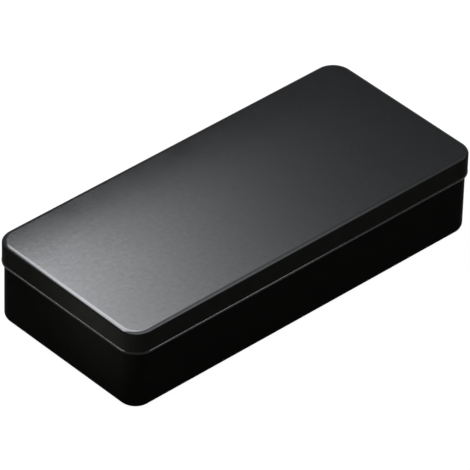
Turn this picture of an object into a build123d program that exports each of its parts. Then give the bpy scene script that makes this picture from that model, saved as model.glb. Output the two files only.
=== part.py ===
from build123d import *
import os

# Rectangular card game tin with a lid hinged on one long side. Millimetres.
# X runs along the tin, the hinge is on +Y, Z is up. The origin is on the standing surface,
# under the middle of the lid.

# Driving dimensions
LENGTH = 211.0  # outside of the lid's skirt
WIDTH = 96.0
HEIGHT = 44.2
CORNER_RADIUS = 10.0  # plan corners of the lid's skirt
SHEET = 0.3  # tinplate
SKIRT_DEPTH = 12.0
OVERHANG = 1.1  # the skirt's outside beyond the base's outside, all round

# Lid
LID_EDGE_RADIUS = 1.4  # from the top panel to the skirt
LID_PANEL_MARGIN = 6.0  # width of the swept edge, measured in from the skirt
HEM_HEIGHT = 0.9
HEM_FOLD_CHAMFER = 0.18
HEM_JOG = 0.15  # the hem stands out this far beyond the skirt
HEM_JOG_RUN = 0.3

# Base
FLOOR_EDGE_RADIUS = 3.6
FLOOR_RECESS = 0.8  # the floor panel is raised, so the tin stands on a band round its edge
FOOT_BAND = 5.2  # from the wall's outside to the start of the step
RECESS_RUN = 1.2
FLOOR_PANEL_MARGIN = 8.0
RIM_GAP = 0.3  # from the curled rim to the underside of the lid
RIM_CURL = 0.65  # centre-line radius of the inward curl
RIM_WRAP = 180

# Hinges
HINGE_SPREAD = 62.0  # from the middle of the tin to the middle of each hinge
LEAF_WIDTH = 24.0
LEAF_SHEET = 0.4
BASE_KNUCKLE = 9.4
KNUCKLE_GAP = 0.3
PIN_RADIUS = 0.6
PIN_PLAY = 0.05  # radial, in the lid's knuckles
PIN_HEAD_RADIUS = 0.85
PIN_HEAD = 0.45
END_PLAY = 0.1
AXIS_RISE = 0.8  # of the pin's axis above the lower edge of the skirt
WALL_CLEARANCE = 0.3  # between the lid's knuckles and the base's wall
NOTCH_END_PLAY = 0.35
NOTCH_RISE = 1.6  # of the notch's top edge above the pin's axis
NOTCH_ROUND = 0.8
BASE_PLATE_TOP = 1.4  # below the pin's axis
BASE_PLATE_HEIGHT = 7.6
LID_PLATE_BOTTOM = 1.35  # above the pin's axis
LID_PLATE_TOP = 8.0
PLATE_ROUND = 2.0
TANGENT_ANGLE = 135  # where each leaf's sloping run meets its knuckle
BASE_WRAP = 265
LID_WRAP = 285

# Worked out from them
HALF_SHEET = SHEET / 2
SKIRT_BOTTOM = HEIGHT - SKIRT_DEPTH
BASE_LENGTH = LENGTH - 2 * OVERHANG
BASE_WIDTH = WIDTH - 2 * OVERHANG
BASE_CORNER = CORNER_RADIUS - OVERHANG
RIM_TOP = HEIGHT - SHEET - RIM_GAP
RIM_CENTRE = RIM_TOP - RIM_CURL - HALF_SHEET
SKIRT_BACK = WIDTH / 2
WALL_BACK = BASE_WIDTH / 2
LID_KNUCKLE_MEAN = PIN_RADIUS + PIN_PLAY + LEAF_SHEET / 2
BASE_KNUCKLE_MEAN = PIN_RADIUS + LEAF_SHEET / 2
KNUCKLE_OUTSIDE = LID_KNUCKLE_MEAN + LEAF_SHEET / 2
AXIS_Y = WALL_BACK + WALL_CLEARANCE + KNUCKLE_OUTSIDE
AXIS_Z = SKIRT_BOTTOM + AXIS_RISE
LID_KNUCKLE = (LEAF_WIDTH - BASE_KNUCKLE) / 2 - KNUCKLE_GAP
OVERLAP = 2.0  # of a knuckle strip with its own plate


def outline(length, width, radius):
    """Closed path of a rounded rectangle on XY that starts at the middle of the front."""
    with BuildLine() as path:
        FilletPolyline(
            (0, -width / 2), (length / 2, -width / 2), (length / 2, width / 2), (0, width / 2),
            radius=radius,
        )
        mirror(about=Plane.YZ)
    return path.wire()


def front_section(half_width):
    """Plane across the front wall: local X points out of the tin, local Y points up."""
    return Plane(origin=(0, -half_width, 0), x_dir=(0, -1, 0), z_dir=(-1, 0, 0))


def base_shell():
    """Drawn base: raised floor panel, foot band, walls and an inward curl at the rim."""
    foot = HALF_SHEET
    panel = FLOOR_RECESS + HALF_SHEET
    with BuildPart() as shell:
        with BuildSketch(front_section(BASE_WIDTH / 2)):
            with BuildLine():
                Polyline(
                    (-FLOOR_PANEL_MARGIN, panel),
                    (-FOOT_BAND - RECESS_RUN, panel),
                    (-FOOT_BAND, foot),
                    (-FLOOR_EDGE_RADIUS, foot),
                )
                CenterArc(
                    (-FLOOR_EDGE_RADIUS, FLOOR_EDGE_RADIUS), FLOOR_EDGE_RADIUS - HALF_SHEET, -90, 90
                )
                Line((-HALF_SHEET, FLOOR_EDGE_RADIUS), (-HALF_SHEET, RIM_CENTRE))
                CenterArc((-HALF_SHEET - RIM_CURL, RIM_CENTRE), RIM_CURL, 0, RIM_WRAP)
            trace(line_width=SHEET)
        sweep(path=outline(BASE_LENGTH, BASE_WIDTH, BASE_CORNER))
        with BuildSketch(Plane.XY.offset(FLOOR_RECESS)):
            RectangleRounded(
                BASE_LENGTH - 2 * FLOOR_PANEL_MARGIN,
                BASE_WIDTH - 2 * FLOOR_PANEL_MARGIN,
                BASE_CORNER - FLOOR_PANEL_MARGIN,
            )
        extrude(amount=SHEET)
    return shell


def lid_shell():
    """Drawn lid: flat panel, rounded edge, straight skirt and a closed hem folded inwards."""
    top = HEIGHT - HALF_SHEET
    hem_top = SKIRT_BOTTOM + HEM_HEIGHT
    with BuildPart() as shell:
        with BuildSketch(front_section(WIDTH / 2)):
            with BuildLine():
                Line((-LID_PANEL_MARGIN, top), (-LID_EDGE_RADIUS, top))
                CenterArc(
                    (-LID_EDGE_RADIUS, HEIGHT - LID_EDGE_RADIUS),
                    LID_EDGE_RADIUS - HALF_SHEET, 0, 90,
                )
                Polyline(
                    (-HALF_SHEET, HEIGHT - LID_EDGE_RADIUS),
                    (-HALF_SHEET, hem_top + HEM_JOG_RUN),
                    (HEM_JOG - HALF_SHEET, hem_top),
                )
            trace(line_width=SHEET)
            with Locations((HEM_JOG - SHEET, SKIRT_BOTTOM + HEM_HEIGHT / 2)):
                Rectangle(2 * SHEET, HEM_HEIGHT)
            chamfer(vertices().sort_by(Axis.Y)[:2], HEM_FOLD_CHAMFER)
        sweep(path=outline(LENGTH, WIDTH, CORNER_RADIUS))
        with BuildSketch(Plane.XY.offset(HEIGHT - SHEET)):
            RectangleRounded(
                LENGTH - 2 * LID_PANEL_MARGIN,
                WIDTH - 2 * LID_PANEL_MARGIN,
                CORNER_RADIUS - LID_PANEL_MARGIN,
            )
        extrude(amount=SHEET)

        # Notches in the back of the skirt, one round each hinge
        notch_width = LEAF_WIDTH + 2 * (END_PLAY + PIN_HEAD + NOTCH_END_PLAY)
        notch_height = AXIS_Z + NOTCH_RISE - SKIRT_BOTTOM
        with BuildSketch(Plane.XZ.offset(-SKIRT_BACK - HEM_JOG)):
            with Locations((-HINGE_SPREAD, SKIRT_BOTTOM), (HINGE_SPREAD, SKIRT_BOTTOM)):
                RectangleRounded(notch_width, 2 * notch_height, NOTCH_ROUND)
        extrude(amount=HEM_JOG + OVERHANG, mode=Mode.SUBTRACT)
    return shell


def knuckle_section(plane, plate_y, plate_z, mean_radius, wrap):
    """Sheet that leaves its plate at 45 degrees and rolls round the pin."""
    centre = (AXIS_Y, AXIS_Z)
    with BuildSketch(plane) as section:
        with BuildLine():
            roll = CenterArc(centre, mean_radius, TANGENT_ANGLE, wrap)
            meet = roll @ 0
            slope = plate_y - meet.X
            bend = (plate_y, meet.Y + slope)
            Polyline((plate_y, plate_z), bend, meet)
        trace(line_width=LEAF_SHEET)
    return section.sketch


def plate_outline(width, height, rounded_edge):
    """Rectangle centred on the origin, with both corners of its free edge rounded."""
    Rectangle(width, height)
    free_corners = vertices().sort_by(Axis.Y)
    fillet(free_corners[-2:] if rounded_edge > 0 else free_corners[:2], PLATE_ROUND)


def base_leaf(x_mid):
    """Leaf on the base's back wall, with the middle knuckle, which grips the pin."""
    plate_y = WALL_BACK + LEAF_SHEET / 2
    plate_top = AXIS_Z - BASE_PLATE_TOP
    plate_mid = plate_top - BASE_PLATE_HEIGHT / 2
    with BuildPart() as leaf:
        section_plane = Plane.YZ.offset(x_mid - BASE_KNUCKLE / 2)
        knuckle = knuckle_section(
            section_plane, plate_y, plate_top - OVERLAP, BASE_KNUCKLE_MEAN, -BASE_WRAP
        )
        extrude(knuckle, amount=BASE_KNUCKLE)
        with BuildSketch(Plane(origin=(x_mid, WALL_BACK, plate_mid), x_dir=(-1, 0, 0), z_dir=(0, 1, 0))):
            plate_outline(LEAF_WIDTH, BASE_PLATE_HEIGHT, -1)
        extrude(amount=LEAF_SHEET)
    return leaf


def lid_leaf(x_mid):
    """Leaf on the back of the skirt, with the two outer knuckles, which turn on the pin."""
    plate_y = SKIRT_BACK + LEAF_SHEET / 2
    plate_bottom = AXIS_Z + LID_PLATE_BOTTOM
    plate_height = LID_PLATE_TOP - LID_PLATE_BOTTOM
    plate_mid = plate_bottom + plate_height / 2
    with BuildPart() as leaf:
        for start in (x_mid - LEAF_WIDTH / 2, x_mid + LEAF_WIDTH / 2 - LID_KNUCKLE):
            knuckle = knuckle_section(
                Plane.YZ.offset(start), plate_y, plate_bottom + OVERLAP, LID_KNUCKLE_MEAN, LID_WRAP
            )
            extrude(knuckle, amount=LID_KNUCKLE)
        with BuildSketch(Plane(origin=(x_mid, SKIRT_BACK, plate_mid), x_dir=(-1, 0, 0), z_dir=(0, 1, 0))):
            plate_outline(LEAF_WIDTH, plate_height, 1)
        extrude(amount=LEAF_SHEET)
    return leaf


def hinge_pin(x_mid):
    """Wire pin with a peened head at each end."""
    reach = LEAF_WIDTH / 2 + END_PLAY
    with BuildPart() as pin:
        with BuildSketch(Plane.XY.offset(AXIS_Z)):
            with BuildLine(Plane.XY.offset(AXIS_Z)):
                Polyline(
                    (x_mid - reach - PIN_HEAD, AXIS_Y),
                    (x_mid - reach - PIN_HEAD, AXIS_Y + PIN_HEAD_RADIUS),
                    (x_mid - reach, AXIS_Y + PIN_HEAD_RADIUS),
                    (x_mid - reach, AXIS_Y + PIN_RADIUS),
                    (x_mid + reach, AXIS_Y + PIN_RADIUS),
                    (x_mid + reach, AXIS_Y + PIN_HEAD_RADIUS),
                    (x_mid + reach + PIN_HEAD, AXIS_Y + PIN_HEAD_RADIUS),
                    (x_mid + reach + PIN_HEAD, AXIS_Y),
                    close=True,
                )
            make_face()
        revolve(axis=Axis((0, AXIS_Y, AXIS_Z), (1, 0, 0)))
    return pin


def write(piece, name):
    piece.part.label = name
    export_step(piece.part, f"parts/{name}.step")


os.makedirs("parts", exist_ok=True)
write(base_shell(), "base_shell")
write(lid_shell(), "lid_shell")
for side, x_mid in (("left", -HINGE_SPREAD), ("right", HINGE_SPREAD)):
    write(base_leaf(x_mid), f"base_hinge_leaf_{side}")
    write(lid_leaf(x_mid), f"lid_hinge_leaf_{side}")
    write(hinge_pin(x_mid), f"hinge_pin_{side}")
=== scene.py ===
import math

import bmesh
import bpy
from mathutils import Matrix, Vector


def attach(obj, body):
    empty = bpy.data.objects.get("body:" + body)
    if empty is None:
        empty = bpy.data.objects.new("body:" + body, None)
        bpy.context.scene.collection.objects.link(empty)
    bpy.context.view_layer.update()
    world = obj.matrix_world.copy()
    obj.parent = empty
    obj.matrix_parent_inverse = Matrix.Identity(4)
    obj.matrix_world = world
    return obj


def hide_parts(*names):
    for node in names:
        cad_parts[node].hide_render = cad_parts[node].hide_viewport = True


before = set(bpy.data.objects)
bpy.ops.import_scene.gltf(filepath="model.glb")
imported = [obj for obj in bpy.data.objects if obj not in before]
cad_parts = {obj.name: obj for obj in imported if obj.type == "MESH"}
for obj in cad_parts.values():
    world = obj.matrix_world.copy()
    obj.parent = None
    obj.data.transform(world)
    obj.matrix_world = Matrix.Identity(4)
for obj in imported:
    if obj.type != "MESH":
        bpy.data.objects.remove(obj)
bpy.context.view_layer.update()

MM = 0.001

# ---------------------------------------------------------------- sizes, millimetres
LENGTH, WIDTH, HEIGHT = 211.0, 96.0, 44.2
CORNER_RADIUS = 10.0
SHEET = 0.3

# Lid: the rounded edge is an oval, wider than it is deep, and the hem stands proud by its jog
SKIRT_DEPTH = 12.0
OVERHANG = 1.1
LID_EDGE_RADIUS = 1.4
LID_EDGE_RUN = 2.4
HEM_HEIGHT = 0.9
HEM_JOG = 0.15
HEM_JOG_RUN = 0.3
HEM_EASE = 0.06
NOTCH_END_PLAY = 0.35
NOTCH_RISE = 1.6
NOTCH_ROUND = 0.8
CUTTER_REACH = 1.0

# Base: a raised floor inside a flat band, and a rim curled inwards through RIM_WRAP degrees
FLOOR_EDGE_RADIUS = 3.6
FLOOR_RECESS = 0.8
FOOT_BAND = 5.2
RECESS_RUN = 1.2
RIM_GAP = 0.3
RIM_CURL = 0.65
RIM_WRAP = 285
PANEL_MARGIN = 7.6

# Hinges: heights are above or below the axis, angles in degrees
HINGE_SPREAD = 62.0
LEAF_WIDTH = 24.0
LEAF_SHEET = 0.4
LEAF_EASE = 0.05
BASE_KNUCKLE = 9.4
KNUCKLE_GAP = 0.3
PIN_RADIUS = 0.6
PIN_PLAY = 0.05
PIN_HEAD_RADIUS = 0.85
PIN_HEAD = 0.45
END_PLAY = 0.1
AXIS_RISE = 0.8
WALL_CLEARANCE = 0.3
BASE_PLATE_TOP = 1.4
BASE_PLATE_HEIGHT = 7.6
LID_PLATE_BOTTOM = 1.35
LID_PLATE_TOP = 8.0
PLATE_ROUND = 2.0
TANGENT_ANGLE = 135
BASE_WRAP = -265
LID_WRAP = 285

# Weld marks: their row is a share of the plate's height, their cutter a share past the mark
WELD_RADIUS = 0.9
WELD_DEPTH = 0.14
WELD_CUT = 1.25
WELD_PLACES = (-8.4, -2.9, 2.9, 8.4)
WELD_ROW = 0.52

# Worked out from the sizes above
SKIRT_BOTTOM = HEIGHT - SKIRT_DEPTH
SKIRT_BACK = WIDTH / 2
BASE_LENGTH = LENGTH - 2 * OVERHANG
BASE_WIDTH = WIDTH - 2 * OVERHANG
BASE_CORNER = CORNER_RADIUS - OVERHANG
WALL_BACK = BASE_WIDTH / 2
RIM_CENTRE = HEIGHT - SHEET - RIM_GAP - RIM_CURL - SHEET / 2
BASE_MEAN = PIN_RADIUS + LEAF_SHEET / 2
LID_MEAN = BASE_MEAN + PIN_PLAY
AXIS_Y = WALL_BACK + WALL_CLEARANCE + LID_MEAN + LEAF_SHEET / 2
AXIS_Z = SKIRT_BOTTOM + AXIS_RISE
LID_KNUCKLE = (LEAF_WIDTH - BASE_KNUCKLE) / 2 - KNUCKLE_GAP

# Rings beside a bend that keep the shading of the flat part level
PANEL_LOOP = 1.0
EDGE_LOOP = 0.08
SKIRT_LOOP = 0.3
WALL_LOOP = 0.4
FLOOR_LOOP = 0.5

# Steps in each bend
CORNER_STEPS = 20
EDGE_STEPS, EDGE_PANEL_STEPS, EDGE_INNER_STEPS = 18, 12, 12
JOG_STEPS, FOLD_STEPS = 6, 10
FLOOR_STEPS, FLOOR_INNER_STEPS, RECESS_STEPS = 14, 12, 8
RIM_STEPS, RIM_INNER_STEPS = 24, 20
KNUCKLE_STEPS, ROUND_STEPS = 30, 8
WELD_RINGS, WELD_STEPS = 5, 28
PIN_STEPS, HEAD_STEPS = 32, 8

SMOOTH_ANGLE = math.radians(38)
EASE_ANGLE = math.radians(60)
SAME_POINT = 1e-6


# ---------------------------------------------------------------- node helpers
def blank_material(name):
    """New material whose tree holds only its output."""
    material = bpy.data.materials.new(name)
    material.use_nodes = True
    tree = material.node_tree
    tree.nodes.clear()
    return material, tree, tree.nodes.new("ShaderNodeOutputMaterial")


def maths(tree, operation, a, b=0.0):
    """Math node of a socket and of a second socket or a number."""
    node = tree.nodes.new("ShaderNodeMath")
    node.operation = operation
    tree.links.new(a, node.inputs[0])
    if isinstance(b, bpy.types.NodeSocket):
        tree.links.new(b, node.inputs[1])
    else:
        node.inputs[1].default_value = b
    return node.outputs[0]


def add(tree, a, b):
    return maths(tree, "ADD", a, b)


def multiply(tree, a, b):
    return maths(tree, "MULTIPLY", a, b)


def ramp(tree, value, low, high, at_low, at_high):
    """Straight ramp from at_low to at_high, held level outside low..high."""
    node = tree.nodes.new("ShaderNodeMapRange")
    node.inputs["From Min"].default_value = low
    node.inputs["From Max"].default_value = high
    node.inputs["To Min"].default_value = at_low
    node.inputs["To Max"].default_value = at_high
    tree.links.new(value, node.inputs["Value"])
    return node.outputs["Result"]


def ramps(tree, value, *spans):
    """Product of several ramps of one value."""
    result = ramp(tree, value, *spans[0])
    for span in spans[1:]:
        result = multiply(tree, result, ramp(tree, value, *span))
    return result


def mix_shaders(tree, share, first, second):
    """From the first shader to the second as the share goes from 0 to 1."""
    mix = tree.nodes.new("ShaderNodeMixShader")
    for source, socket in zip((share, first, second), mix.inputs):
        tree.links.new(source, socket)
    return mix.outputs[0]


# ---------------------------------------------------------------- materials
# Layers: the size of each noise in millimetres, its detail and its roughness
MOTTLE = {"size_mm": 7.0, "detail": 5, "roughness": 0.8}
GLOSS_CLOUDS = {"size_mm": 16.0, "detail": 2}
GLOSS_SPECKS = {"size_mm": 0.9, "detail": 3}
COAT_CLOUDS = {"size_mm": 2.6, "detail": 4, "roughness": 0.85}
ORANGE_PEEL = {"size_mm": 1.8, "detail": 2}
FINE_GRAIN = {"size_mm": 0.35, "detail": 2}
TIN_CLOUDS = {"size_mm": 22.0, "detail": 2}
TIN_CRYSTALS = {"size_mm": 0.6, "detail": 3}
TIN_GLOSS = {"size_mm": 5.0, "detail": 2}
HAIR_LINES = {"size_mm": 0.16, "detail": 2}

# What each layer does: shares of a tone, swings of roughness, depths as shares of relief_mm
NOISE_LOW, NOISE_HIGH = 0.3, 0.7
CLOUD_SWING, SPECK_SWING = 0.015, 0.02
PEEL_SHARE, GRAIN_SHARE = 2.0, 0.5
TIN_CLOUD_TONE = (0.0, 0.7)
TIN_CRYSTAL_TONE = (-0.06, 0.16)
LINE_SWING, TIN_SWING = 0.008, 0.02
LACQUER_IOR = 1.5
TIN_COAT_ROUGHNESS = 0.15


def principled(name):
    """New material with a Principled shader on its output."""
    material, tree, output = blank_material(name)
    shader = tree.nodes.new("ShaderNodeBsdfPrincipled")
    tree.links.new(shader.outputs[0], output.inputs[0])
    return material, tree, shader


def noise(tree, size_mm, detail, stretch=(1, 1, 1), roughness=0.5):
    """Noise with features about size_mm across, in the part's own coordinates."""
    coord = tree.nodes.new("ShaderNodeTexCoord")
    mapping = tree.nodes.new("ShaderNodeMapping")
    mapping.inputs["Scale"].default_value = stretch
    tex = tree.nodes.new("ShaderNodeTexNoise")
    tex.inputs["Scale"].default_value = 1 / (size_mm * MM)
    tex.inputs["Detail"].default_value = detail
    tex.inputs["Roughness"].default_value = roughness
    tree.links.new(coord.outputs["Object"], mapping.inputs["Vector"])
    tree.links.new(mapping.outputs["Vector"], tex.inputs["Vector"])
    return tex.outputs["Fac"]


def spread(tree, value, low, high):
    """Maps a noise's middle range to low..high."""
    return ramp(tree, value, NOISE_LOW, NOISE_HIGH, low, high)


def tone(tree, value, dark, light):
    """Colour from dark to light as the value goes from 0 to 1."""
    node = tree.nodes.new("ShaderNodeMix")
    node.data_type = "RGBA"
    node.inputs["A"].default_value = (*dark, 1)
    node.inputs["B"].default_value = (*light, 1)
    tree.links.new(value, node.inputs["Factor"])
    return node.outputs["Result"]


def bump(tree, height, distance_mm, below=None):
    """Normal for a relief distance_mm deep, on top of the normal below."""
    node = tree.nodes.new("ShaderNodeBump")
    node.inputs["Strength"].default_value = 1.0
    node.inputs["Distance"].default_value = distance_mm * MM
    tree.links.new(height, node.inputs["Height"])
    if below:
        tree.links.new(below, node.inputs["Normal"])
    return node.outputs["Normal"]


def lacquer(name, dark, light, rough, specular, relief_mm=0.0012, cloudy=0.0):
    """Baked black lacquer on tinplate: mottled tone and gloss, orange peel and a fine grain."""
    material, tree, shader = principled(name)
    mottle = spread(tree, noise(tree, **MOTTLE), 0.0, 1.0)
    tree.links.new(tone(tree, mottle, dark, light), shader.inputs["Base Color"])
    clouds = spread(tree, noise(tree, **GLOSS_CLOUDS), rough - CLOUD_SWING, rough + CLOUD_SWING)
    specks = spread(tree, noise(tree, **GLOSS_SPECKS), -SPECK_SWING, SPECK_SWING)
    tree.links.new(add(tree, clouds, specks), shader.inputs["Roughness"])
    peel = bump(tree, noise(tree, **ORANGE_PEEL), relief_mm * PEEL_SHARE)
    grain = bump(tree, noise(tree, **FINE_GRAIN), relief_mm * GRAIN_SHARE, below=peel)
    tree.links.new(grain, shader.inputs["Normal"])
    shader.inputs["IOR"].default_value = LACQUER_IOR
    shader.inputs["Specular IOR Level"].default_value = specular
    if cloudy:
        coat = spread(tree, noise(tree, **COAT_CLOUDS), 0.0, cloudy)
        tree.links.new(coat, shader.inputs["Coat Weight"])
        shader.inputs["Coat Roughness"].default_value = rough
    return material


def bare_metal(name, dark, light, rough, along, relief_mm, coat=0.0):
    """Bright metal: faint clouds, a fine crystal speckle and hair lines drawn out along x."""
    material, tree, shader = principled(name)
    clouds = spread(tree, noise(tree, **TIN_CLOUDS), *TIN_CLOUD_TONE)
    crystals = spread(tree, noise(tree, **TIN_CRYSTALS), *TIN_CRYSTAL_TONE)
    tree.links.new(tone(tree, add(tree, clouds, crystals), dark, light), shader.inputs["Base Color"])
    lines = noise(tree, stretch=(along, 1, 1), **HAIR_LINES)
    drawn = spread(tree, lines, rough - LINE_SWING, rough + LINE_SWING)
    broad = spread(tree, noise(tree, **TIN_GLOSS), -TIN_SWING, TIN_SWING)
    tree.links.new(add(tree, drawn, broad), shader.inputs["Roughness"])
    tree.links.new(bump(tree, lines, relief_mm), shader.inputs["Normal"])
    shader.inputs["Metallic"].default_value = 1.0
    shader.inputs["Coat Weight"].default_value = coat
    shader.inputs["Coat Roughness"].default_value = TIN_COAT_ROUGHNESS
    return material


panel_lacquer = lacquer(
    "lid_panel_lacquer", dark=(0.0022, 0.0022, 0.0025), light=(0.0034, 0.0034, 0.0037),
    rough=0.12, specular=0.905, relief_mm=0.0022, cloudy=0.4,
)
hem_lacquer = lacquer(
    "lid_hem_lacquer", dark=(0.0022, 0.0022, 0.0022), light=(0.0034, 0.0034, 0.0034),
    rough=0.17, specular=0.5,
)
fold_lacquer = lacquer(
    "lid_fold_lacquer", dark=(0.0020, 0.0020, 0.0018), light=(0.0030, 0.0030, 0.0026),
    rough=0.28, specular=0.09,
)
# The walls' specular level is almost nil, because the floor is white to reflections. The skirt's colour is
# made lighter than the base wall's, a painted reflection in place of that gloss
skirt_painted_reflection_lacquer = lacquer(
    "lid_skirt_lacquer_painted_reflection", dark=(0.0063, 0.0063, 0.0057), light=(0.0089, 0.0089, 0.0079),
    rough=0.34, specular=0.001,
)
base_lacquer = lacquer(
    "base_wall_lacquer", dark=(0.0028, 0.0028, 0.0025), light=(0.0040, 0.0040, 0.0036),
    rough=0.34, specular=0.001,
)
hinge_lacquer = lacquer(
    "hinge_leaf_lacquer", dark=(0.0026, 0.0026, 0.0024), light=(0.0044, 0.0044, 0.0040),
    rough=0.22, specular=0.2,
)
lid_inside = bare_metal(
    "lid_inside_tinplate", dark=(0.61, 0.60, 0.57), light=(0.69, 0.68, 0.65),
    rough=0.30, along=0.05, relief_mm=0.00008, coat=0.3,
)
base_inside = bare_metal(
    "base_inside_tinplate", dark=(0.60, 0.59, 0.56), light=(0.68, 0.67, 0.64),
    rough=0.32, along=0.05, relief_mm=0.00008, coat=0.3,
)
pin_steel = bare_metal(
    "pin_drawn_steel", dark=(0.42, 0.41, 0.39), light=(0.56, 0.55, 0.53),
    rough=0.34, along=0.08, relief_mm=0.0003,
)


# ---------------------------------------------------------------- mesh helpers
def link_object(name, bm, materials):
    """Object in the scene with the bmesh as its mesh."""
    mesh = bpy.data.meshes.new(name)
    bm.to_mesh(mesh)
    bm.free()
    for material in materials:
        mesh.materials.append(material)
    thing = bpy.data.objects.new(name, mesh)
    bpy.context.scene.collection.objects.link(thing)
    return thing


def finish_mesh(name, bm, materials):
    """Object from a closed bmesh in millimetres, smooth with sharp edges kept."""
    bmesh.ops.recalc_face_normals(bm, faces=bm.faces)
    bmesh.ops.scale(bm, vec=(MM, MM, MM), verts=bm.verts)
    piece = link_object(name, bm, materials)
    soften(piece)
    return piece


def soften(piece):
    """Smooth shading, with the edges sharper than SMOOTH_ANGLE kept."""
    piece.data.polygons.foreach_set("use_smooth", [True] * len(piece.data.polygons))
    piece.data.set_sharp_from_angle(angle=SMOOTH_ANGLE)


def bake(piece):
    """Applies the piece's modifiers to its mesh."""
    graph = bpy.context.evaluated_depsgraph_get()
    mesh = bpy.data.meshes.new_from_object(piece.evaluated_get(graph))
    piece.modifiers.clear()
    piece.data = mesh
    soften(piece)


def cut(piece, cutter):
    """Takes the cutter out of the piece; the cut faces keep the cutter's material."""
    tool = piece.modifiers.new("cut", "BOOLEAN")
    tool.operation = "DIFFERENCE"
    tool.solver = "EXACT"
    tool.material_mode = "TRANSFER"
    tool.object = cutter
    bake(piece)
    bpy.data.objects.remove(cutter)


def oval(centre, reach, rise, start, sweep, steps):
    """Points of an elliptical arc in degrees, both ends included."""
    points = []
    for i in range(steps + 1):
        angle = math.radians(start + sweep * i / steps)
        points.append((centre[0] + reach * math.cos(angle), centre[1] + rise * math.sin(angle)))
    return points


def arc(centre, radius, start, sweep, steps):
    """Points of a round arc in degrees, both ends included."""
    return oval(centre, radius, radius, start, sweep, steps)


def circle(steps):
    """Cosine and sine of evenly spaced directions all round."""
    angles = [2 * math.pi * k / steps for k in range(steps)]
    return [(math.cos(angle), math.sin(angle)) for angle in angles]


def ease(start, end, steps):
    """S-curve between two section points, level at both ends."""
    points = []
    for i in range(steps + 1):
        t = i / steps
        s = t * t * (3 - 2 * t)
        points.append((start[0] + (end[0] - start[0]) * t, start[1] + (end[1] - start[1]) * s))
    return points


def stations(length, width, radius):
    """Corner centres and outward directions round a rounded rectangle."""
    result = []
    for quarter, (sx, sy) in enumerate(((1, -1), (1, 1), (-1, 1), (-1, -1))):
        centre = (sx * (length / 2 - radius), sy * (width / 2 - radius))
        for i in range(CORNER_STEPS + 1):
            angle = math.radians(-90 + 90 * quarter + 90 * i / CORNER_STEPS)
            result.append((centre, (math.cos(angle), math.sin(angle))))
    return result


def bridge(bm, ring, following):
    """Faces between two rings of points; a ring of one point makes a fan."""
    count = max(len(ring), len(following))
    for k in range(count):
        after = (k + 1) % count
        if len(ring) == 1:
            bm.faces.new((ring[0], following[after], following[k]))
        elif len(following) == 1:
            bm.faces.new((ring[k], ring[after], following[0]))
        else:
            bm.faces.new((ring[k], ring[after], following[after], following[k]))


def sweep_section(length, width, radius, runs):
    """Closed sheet: runs of (points, slot) swept round the outline, with both panels filled."""
    section, slots = [], []
    for points, slot in runs:
        for point in points:
            if section and math.dist(section[-1], point) < SAME_POINT:
                continue
            if section:
                slots.append(slot)
            section.append(point)
    bm = bmesh.new()
    rings = []
    for centre, normal in stations(length, width, radius):
        ring = []
        for out, z in section:
            reach = radius + out
            ring.append(bm.verts.new((centre[0] + normal[0] * reach, centre[1] + normal[1] * reach, z)))
        rings.append(ring)
    for ring, following in zip(rings, rings[1:] + rings[:1]):
        for i, slot in enumerate(slots):
            face = bm.faces.new((ring[i], following[i], following[i + 1], ring[i + 1]))
            face.material_index = slot
    first = bm.faces.new([ring[0] for ring in rings])
    first.material_index = runs[0][1]
    last = bm.faces.new([ring[-1] for ring in rings])
    last.material_index = runs[-1][1]
    return bm


# ---------------------------------------------------------------- lid shell
def lid_piece():
    """Lid: panel, rounded edge, skirt and hem in one swept sheet, less the hinges' notches."""
    panel, side, inside, hem, fold = range(5)
    hem_top = SKIRT_BOTTOM + HEM_HEIGHT
    jog_top = hem_top + HEM_JOG_RUN
    edge_z = HEIGHT - LID_EDGE_RADIUS
    edge_start = -LID_EDGE_RUN
    roll_x, roll_z = HEM_JOG - SHEET, SKIRT_BOTTOM + SHEET
    jog = [
        (HEM_JOG * (1 - math.cos(math.pi * i / JOG_STEPS)) / 2, jog_top - HEM_JOG_RUN * i / JOG_STEPS)
        for i in range(JOG_STEPS + 1)
    ]
    edge = oval((edge_start, edge_z), LID_EDGE_RUN, LID_EDGE_RADIUS, 90, -90, EDGE_STEPS)
    inner_edge = oval(
        (edge_start, edge_z), LID_EDGE_RUN - SHEET, LID_EDGE_RADIUS - SHEET, 0, 90, EDGE_INNER_STEPS
    )
    runs = [
        ([(x, HEIGHT) for x in (-PANEL_MARGIN, edge_start - PANEL_LOOP, edge_start - EDGE_LOOP)], panel),
        (edge[:EDGE_PANEL_STEPS + 1], panel),
        (edge[EDGE_PANEL_STEPS:], side),
        ([(0, edge_z - SKIRT_LOOP), (0, jog_top + WALL_LOOP), (0, jog_top)], side),
        (jog, hem),
        (arc((roll_x, roll_z), SHEET, 0, -180, FOLD_STEPS), fold),
        ([(roll_x - SHEET, roll_z), (roll_x - SHEET, hem_top - HEM_EASE)], side),
        ([(roll_x - SHEET + HEM_EASE, hem_top), (roll_x, hem_top)], inside),
        ([(x - SHEET, z) for x, z in reversed(jog[:-1])], inside),
        ([(-SHEET, edge_z)], inside),
        (inner_edge, inside),
        ([(-PANEL_MARGIN, HEIGHT - SHEET)], inside),
    ]
    bm = sweep_section(LENGTH, WIDTH, CORNER_RADIUS, runs)
    materials = [panel_lacquer, skirt_painted_reflection_lacquer, lid_inside, hem_lacquer, fold_lacquer]
    piece = finish_mesh("lid_drawn_shell", bm, materials)
    for x_mid in (-HINGE_SPREAD, HINGE_SPREAD):
        cut(piece, notch_cutter(x_mid))
    return piece


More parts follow.
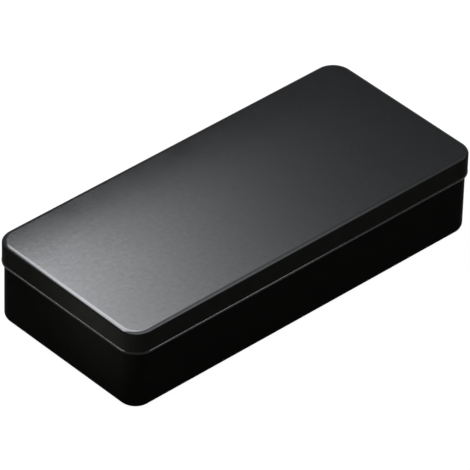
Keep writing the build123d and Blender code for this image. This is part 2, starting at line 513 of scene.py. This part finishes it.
def notch_cutter(x_mid):
    """Round-cornered block that clears the knuckles and the pin's heads."""
    half = LEAF_WIDTH / 2 + END_PLAY + PIN_HEAD + NOTCH_END_PLAY
    top = AXIS_Z + NOTCH_RISE
    low = SKIRT_BOTTOM - CUTTER_REACH
    outline = [(x_mid + half, low)]
    outline += arc((x_mid + half - NOTCH_ROUND, top - NOTCH_ROUND), NOTCH_ROUND, 0, 90, ROUND_STEPS)
    outline += arc((x_mid - half + NOTCH_ROUND, top - NOTCH_ROUND), NOTCH_ROUND, 90, 90, ROUND_STEPS)
    outline += [(x_mid - half, low)]
    bm = bmesh.new()
    near = [bm.verts.new((x, SKIRT_BACK - OVERHANG, z)) for x, z in outline]
    far = [bm.verts.new((x, SKIRT_BACK + CUTTER_REACH, z)) for x, z in outline]
    bm.faces.new(near)
    bm.faces.new(far)
    bridge(bm, near, far)
    return finish_mesh("notch", bm, [lid_inside])


# ---------------------------------------------------------------- base shell
def base_piece():
    """Base: raised floor, rounded floor edge, wall and curled rim in one swept sheet."""
    outside, inside = range(2)
    mid_floor = -FOOT_BAND - RECESS_RUN
    curl = (-SHEET / 2 - RIM_CURL, RIM_CENTRE)
    roll_out, roll_in = RIM_CURL + SHEET / 2, RIM_CURL - SHEET / 2
    corner = (-FLOOR_EDGE_RADIUS, FLOOR_EDGE_RADIUS)
    wall_low, wall_high = FLOOR_EDGE_RADIUS + FLOOR_LOOP, RIM_CENTRE - WALL_LOOP
    outer_step = ease((mid_floor, FLOOR_RECESS), (-FOOT_BAND, 0), RECESS_STEPS)
    inner_step = [(out, z + SHEET) for out, z in reversed(outer_step)]
    runs = [
        ([(-PANEL_MARGIN, FLOOR_RECESS)], outside),
        (outer_step, outside),
        (arc(corner, FLOOR_EDGE_RADIUS, -90, 90, FLOOR_STEPS), outside),
        ([(0, wall_low), (0, wall_high)], outside),
        (arc(curl, roll_out, 0, RIM_WRAP, RIM_STEPS), outside),
        (arc(curl, roll_in, RIM_WRAP, -RIM_WRAP, RIM_INNER_STEPS), inside),
        ([(-SHEET, wall_high), (-SHEET, wall_low)], inside),
        (arc(corner, FLOOR_EDGE_RADIUS - SHEET, 0, -90, FLOOR_INNER_STEPS), inside),
        (inner_step, inside),
        ([(-PANEL_MARGIN, FLOOR_RECESS + SHEET)], inside),
    ]
    bm = sweep_section(BASE_LENGTH, BASE_WIDTH, BASE_CORNER, runs)
    return finish_mesh("base_drawn_shell", bm, [base_lacquer, base_inside])


# ---------------------------------------------------------------- hinges
def roll_path(plate_y, mean_radius, wrap):
    """Section of a leaf from its plate's bend round the pin, as (y, z) points."""
    loop = arc((AXIS_Y, AXIS_Z), mean_radius, TANGENT_ANGLE, wrap, KNUCKLE_STEPS)
    meet = loop[0]
    bend_z = meet[1] + plate_y - meet[0]
    return [(plate_y, bend_z)] + loop


def leaf_piece(name, x_mid, plate_y, free_z, joined_z, tongues, mean_radius, wrap):
    """Stamped leaf: a plate and its rolled tongues as a middle surface, thickened and eased."""
    half = LEAF_WIDTH / 2
    side = 1 if free_z > joined_z else -1
    round_z = free_z - side * PLATE_ROUND
    corners = sorted({x for tongue in tongues for x in tongue} | {-half, half})
    free = arc((x_mid + half - PLATE_ROUND, round_z), PLATE_ROUND, 0, side * 90, ROUND_STEPS)
    free += arc((x_mid - half + PLATE_ROUND, round_z), PLATE_ROUND, side * 90, side * 90, ROUND_STEPS)
    bm = bmesh.new()
    joined = {x: bm.verts.new((x_mid + x, plate_y, joined_z)) for x in corners}
    bm.faces.new([*joined.values(), *(bm.verts.new((x, plate_y, z)) for x, z in free)])
    path = roll_path(plate_y, mean_radius, wrap)
    for low, high in tongues:
        a, b = joined[low], joined[high]
        for y, z in path:
            c, d = bm.verts.new((x_mid + low, y, z)), bm.verts.new((x_mid + high, y, z))
            bm.faces.new((a, b, d, c))
            a, b = c, d
    piece = finish_mesh(name, bm, [hinge_lacquer])
    thick = piece.modifiers.new("thickness", "SOLIDIFY")
    thick.thickness = LEAF_SHEET * MM
    thick.offset = 0
    thick.use_even_offset = True
    eased = piece.modifiers.new("eased", "BEVEL")
    eased.width = LEAF_EASE * MM
    eased.segments = 2
    eased.limit_method = "ANGLE"
    eased.angle_limit = EASE_ANGLE
    bake(piece)
    return piece


def press_welds(piece, x_mid, outer_y, z_row):
    """Shallow round marks that the spot welder leaves on the plate."""
    ball = (WELD_RADIUS**2 + WELD_DEPTH**2) / (2 * WELD_DEPTH)
    reach = math.asin(WELD_RADIUS * WELD_CUT / ball)
    bottom = outer_y - WELD_DEPTH
    for x in WELD_PLACES:
        bm = bmesh.new()
        rings = [[bm.verts.new((x_mid + x, bottom, z_row))]]
        for i in range(1, WELD_RINGS + 1):
            angle = reach * i / WELD_RINGS
            radius, depth = ball * math.sin(angle), ball * (1 - math.cos(angle))
            rings.append([
                bm.verts.new((x_mid + x + radius * across, bottom + depth, z_row + radius * up))
                for across, up in circle(WELD_STEPS)
            ])
        for ring, following in zip(rings, rings[1:]):
            bridge(bm, ring, following)
        bm.faces.new(rings[-1])
        cut(piece, finish_mesh("weld", bm, [hinge_lacquer]))


def pin_piece(name, x_mid):
    """Drawn wire pin with a domed, peened head at each end."""
    reach = LEAF_WIDTH / 2 + END_PLAY
    half = [(0, PIN_RADIUS), (reach - EDGE_LOOP, PIN_RADIUS), (reach, PIN_RADIUS), (reach, PIN_HEAD_RADIUS)]
    for i in range(1, HEAD_STEPS + 1):
        angle = math.pi / 2 * i / HEAD_STEPS
        half.append((reach + PIN_HEAD * math.sin(angle), PIN_HEAD_RADIUS * math.cos(angle)))
    profile = [(-x, radius) for x, radius in reversed(half[1:])] + half
    bm = bmesh.new()
    rings = []
    for x, radius in profile:
        if radius < SAME_POINT:
            rings.append([bm.verts.new((x_mid + x, AXIS_Y, AXIS_Z))])
            continue
        rings.append([
            bm.verts.new((x_mid + x, AXIS_Y + radius * across, AXIS_Z + radius * up))
            for across, up in circle(PIN_STEPS)
        ])
    for ring, following in zip(rings, rings[1:]):
        bridge(bm, ring, following)
    return finish_mesh(name, bm, [pin_steel])


# ---------------------------------------------------------------- the object
def dress(piece, body, node):
    """Hides the CAD node that the piece stands for, and makes the piece ride on the body."""
    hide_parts(node)
    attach(piece, body)


dress(lid_piece(), "lid", "lid_shell")
dress(base_piece(), "base", "base_shell")
base_half = BASE_KNUCKLE / 2
leaf_half = LEAF_WIDTH / 2
for side, x_mid in (("left", -HINGE_SPREAD), ("right", HINGE_SPREAD)):
    top = AXIS_Z - BASE_PLATE_TOP
    leaf = leaf_piece(
        f"base_leaf_{side}", x_mid, WALL_BACK + LEAF_SHEET / 2, top - BASE_PLATE_HEIGHT, top,
        [(-base_half, base_half)], BASE_MEAN, BASE_WRAP,
    )
    press_welds(leaf, x_mid, WALL_BACK + LEAF_SHEET, top - BASE_PLATE_HEIGHT * WELD_ROW)
    dress(leaf, "base", f"base_hinge_leaf_{side}")
    low = AXIS_Z + LID_PLATE_BOTTOM
    leaf = leaf_piece(
        f"lid_leaf_{side}", x_mid, SKIRT_BACK + LEAF_SHEET / 2, AXIS_Z + LID_PLATE_TOP, low,
        [(-leaf_half, -leaf_half + LID_KNUCKLE), (leaf_half - LID_KNUCKLE, leaf_half)], LID_MEAN, LID_WRAP,
    )
    press_welds(leaf, x_mid, SKIRT_BACK + LEAF_SHEET, low + (LID_PLATE_TOP - LID_PLATE_BOTTOM) * WELD_ROW)
    dress(leaf, "lid", f"lid_hinge_leaf_{side}")
    dress(pin_piece(f"pin_{side}", x_mid), "base", f"hinge_pin_{side}")


# ---------------------------------------------------------------- floor, metres
FLOOR_RADIUS = 4.0
FLOOR_SIDES = 96
FLOOR_GREY = 0.8
FLOOR_GLOW = 1.08
FLOOR_GLOW_SHARE = 0.9


def floor():
    """Round white floor; to the camera, glossy and transmission rays it is mostly plain white."""
    bm = bmesh.new()
    bmesh.ops.create_circle(bm, cap_ends=True, segments=FLOOR_SIDES, radius=FLOOR_RADIUS)
    material, tree, output = blank_material("floor_white")
    lit = tree.nodes.new("ShaderNodeBsdfDiffuse")
    lit.inputs["Color"].default_value = (FLOOR_GREY, FLOOR_GREY, FLOOR_GREY, 1)
    white = tree.nodes.new("ShaderNodeEmission")
    white.inputs["Strength"].default_value = FLOOR_GLOW
    path = tree.nodes.new("ShaderNodeLightPath")
    seen = add(tree, path.outputs["Is Camera Ray"], path.outputs["Is Glossy Ray"])
    seen = add(tree, seen, path.outputs["Is Transmission Ray"])
    share = multiply(tree, seen, FLOOR_GLOW_SHARE)
    share.node.use_clamp = True
    tree.links.new(mix_shaders(tree, share, lit.outputs[0], white.outputs[0]), output.inputs[0])
    link_object("floor", bm, [material])


floor()


# ---------------------------------------------------------------- light, metres
UP = Vector((0, 0, 1))
AIM = (0, 0, 0.04)
WORLD_RADIANCE = 0.16


def softbox(name, centre, width, height, radiance, towards=AIM, beam=180):
    """Area light facing a point, its height as upright as it can be. Radiance 1 is white."""
    lamp = bpy.data.lights.new(name, "AREA")
    lamp.shape = "RECTANGLE"
    lamp.size, lamp.size_y = width, height
    lamp.energy = radiance * math.pi * width * height
    lamp.spread = math.radians(beam)
    lamp_object = bpy.data.objects.new(name, lamp)
    back = (Vector(centre) - Vector(towards)).normalized()
    along = (UP - UP.dot(back) * back).normalized()
    across = along.cross(back)
    turn = Matrix((across, along, back)).transposed().to_4x4()
    turn.translation = Vector(centre)
    lamp_object.matrix_world = turn
    lamp_object.visible_camera = False
    bpy.context.scene.collection.objects.link(lamp_object)


# The overhead light. A ramp is (from, to, value before, value after) over its x or y.
CEILING_HEIGHT = 0.40
CEILING_LEFT, CEILING_RIGHT = -0.36, 0.60
CEILING_FRONT, CEILING_BACK = -0.28, 0.60
GLOW_COLOUR = (0.972, 1.0, 1.035)

STRIP_RADIANCE = 6.5
STRIP_LEVEL = (0.29, 0.34, 0.70 * STRIP_RADIANCE, STRIP_RADIANCE)
STRIP_END = (0.375, 0.379, 1.0, 0.0)
BORDER = (0.375, 0.379, 0.0, 0.09)

# Right end: steady up to a start, then a decay. Left end: a smooth fall across a slanted line.
RIGHT_START, RIGHT_LENGTH = 0.161, 0.069
LEFT_MIDDLE, LEFT_LENGTH, LEFT_SLOPE = 0.805, 0.05, 2.4

# Front edge: slanted between two x, and further back to the right of them
FRONT_LOW, FRONT_HIGH, FRONT_SLOPE = 0.03, 0.2, -0.667
FRONT_SET_BACK = (0.19, 0.22, 0.0, -0.028)
FRONT_EDGE = (0.037, 0.107, 0.0, 1.0)

# Brighter patch for the lid's left rounded edge, and dimmer ones for the panel beside it
PATCH_X = (0.08, 0.14, 1.0, 0.0)
PATCH_Y = ((0.22, 0.24, 0.0, 0.4), (0.275, 0.30, 1.0, 0.0))
CORNER_SHARE, LEFT_SHARE = 0.88, 0.89
CORNER_DIP = (0.50, 0.56, CORNER_SHARE, 1.0)
LEFT_DIP = (
    (0.10, 0.15, 1 / CORNER_SHARE, 1.0), (0.10, 0.15, 1.0, LEFT_SHARE), (0.205, 0.23, 1.0, 1 / LEFT_SHARE),
)

# Dim field in front of the strip; in y it also makes the fine double line of the lid's front edge
LINE_SHARE = 0.75
FIELD_X = (0.17, 0.34, 0.9, 0.28)
FIELD_Y = (
    (-0.08, 0.06, 1.25, LINE_SHARE), (0.24, 0.28, 1.0, 1 / LINE_SHARE),
    (0.20, 0.28, 1.0, 0.4), (0.28, 0.36, 1.0, 0.4),
)


def fall(tree, value, middle, length):
    """Falls smoothly from 1 to 0 as the value passes the middle."""
    past = maths(tree, "DIVIDE", maths(tree, "SUBTRACT", value, middle), length)
    return maths(tree, "POWER", add(tree, maths(tree, "EXPONENT", past), 1.0), -1.0)


def decay(tree, value, start, length):
    """1 up to the start, then an exponential decay."""
    past = maths(tree, "DIVIDE", maths(tree, "SUBTRACT", value, start), -length)
    return maths(tree, "EXPONENT", maths(tree, "MINIMUM", past, 0.0))


def strip_glow(tree, x, y):
    """Radiance of the bright strip at the ceiling's back."""
    slanted = add(tree, multiply(tree, y, LEFT_SLOPE), multiply(tree, x, -1.0))
    near_x = maths(tree, "MAXIMUM", maths(tree, "MINIMUM", x, FRONT_HIGH), FRONT_LOW)
    front_y = add(tree, y, multiply(tree, near_x, FRONT_SLOPE))
    front_y = add(tree, front_y, ramp(tree, x, *FRONT_SET_BACK))
    patch = multiply(tree, ramp(tree, x, *PATCH_X), ramps(tree, y, *PATCH_Y))
    glow = ramps(tree, y, STRIP_LEVEL, STRIP_END)
    for share in (
        decay(tree, x, RIGHT_START, RIGHT_LENGTH),
        fall(tree, slanted, LEFT_MIDDLE, LEFT_LENGTH),
        ramp(tree, front_y, *FRONT_EDGE),
        add(tree, patch, 1.0),
        ramp(tree, add(tree, x, y), *CORNER_DIP),
        ramps(tree, x, *LEFT_DIP),
    ):
        glow = multiply(tree, glow, share)
    return glow


def ceiling_light():
    """Overhead softbox that glows downwards: a bright strip at the back, a dim field in front."""
    bm = bmesh.new()
    corners = [
        (CEILING_LEFT, CEILING_FRONT), (CEILING_LEFT, CEILING_BACK),
        (CEILING_RIGHT, CEILING_BACK), (CEILING_RIGHT, CEILING_FRONT),
    ]
    bm.faces.new([bm.verts.new((x, y, CEILING_HEIGHT)) for x, y in corners])
    material, tree, output = blank_material("ceiling_glow")
    coord = tree.nodes.new("ShaderNodeTexCoord")
    axes = tree.nodes.new("ShaderNodeSeparateXYZ")
    tree.links.new(coord.outputs["Object"], axes.inputs[0])
    x, y = axes.outputs["X"], axes.outputs["Y"]
    strip = add(tree, strip_glow(tree, x, y), ramp(tree, y, *BORDER))
    field = multiply(tree, ramps(tree, y, *FIELD_Y), ramp(tree, x, *FIELD_X))
    glow = tree.nodes.new("ShaderNodeEmission")
    glow.inputs["Color"].default_value = (*GLOW_COLOUR, 1)
    tree.links.new(add(tree, strip, field), glow.inputs["Strength"])
    dark = tree.nodes.new("ShaderNodeEmission")
    dark.inputs["Strength"].default_value = 0.0
    behind = tree.nodes.new("ShaderNodeNewGeometry").outputs["Backfacing"]
    tree.links.new(mix_shaders(tree, behind, glow.outputs[0], dark.outputs[0]), output.inputs[0])
    panel = link_object("ceiling_light", bm, [material])
    panel.visible_camera = False


ceiling_light()
softbox("front_light", (0.285, -0.60, 0.245), width=0.19, height=0.15, radiance=7.0)
softbox("side_light", (-0.68, 0.42, 0.235), width=0.14, height=0.17, radiance=7.0)
softbox("fill_light", (-1.1, -0.5, 1.1), width=0.9, height=0.7, radiance=0.5)
# Below the lid's panel, so that only the near end is lit by it and nothing mirrors it from above
softbox(
    "end_light", (-0.155, -0.020, 0.022), width=0.03, height=0.03, radiance=4.2,
    towards=(-0.105, -0.020, 0.050), beam=90,
)

world = bpy.data.worlds.new("world")
world.use_nodes = True
background = world.node_tree.nodes["Background"]
background.inputs["Color"].default_value = (1, 1, 1, 1)
background.inputs["Strength"].default_value = WORLD_RADIANCE
bpy.context.scene.world = world

# ---------------------------------------------------------------- camera
YAW, PITCH, ROLL = math.radians(-43.454), math.radians(37.774), math.radians(1.683)
TARGET = Vector((-1.6382, -0.5943, 22.0)) * MM
DISTANCE = 2.65816
LENS = 446.07
SENSOR = 36.0

back = Vector((math.sin(YAW) * math.cos(PITCH), -math.cos(YAW) * math.cos(PITCH), math.sin(PITCH)))
level = Vector((math.cos(YAW), math.sin(YAW), 0))
upright = back.cross(level)
right = math.cos(ROLL) * level + math.sin(ROLL) * upright
up = math.cos(ROLL) * upright - math.sin(ROLL) * level
camera = bpy.data.objects.new("camera", bpy.data.cameras.new("camera"))
camera.data.sensor_width = SENSOR
camera.data.lens = LENS
pose = Matrix((right, up, back)).transposed().to_4x4()
pose.translation = TARGET + DISTANCE * back
camera.matrix_world = pose
bpy.context.scene.collection.objects.link(camera)
bpy.context.scene.camera = camera
bpy.context.scene.view_settings.view_transform = "Standard"
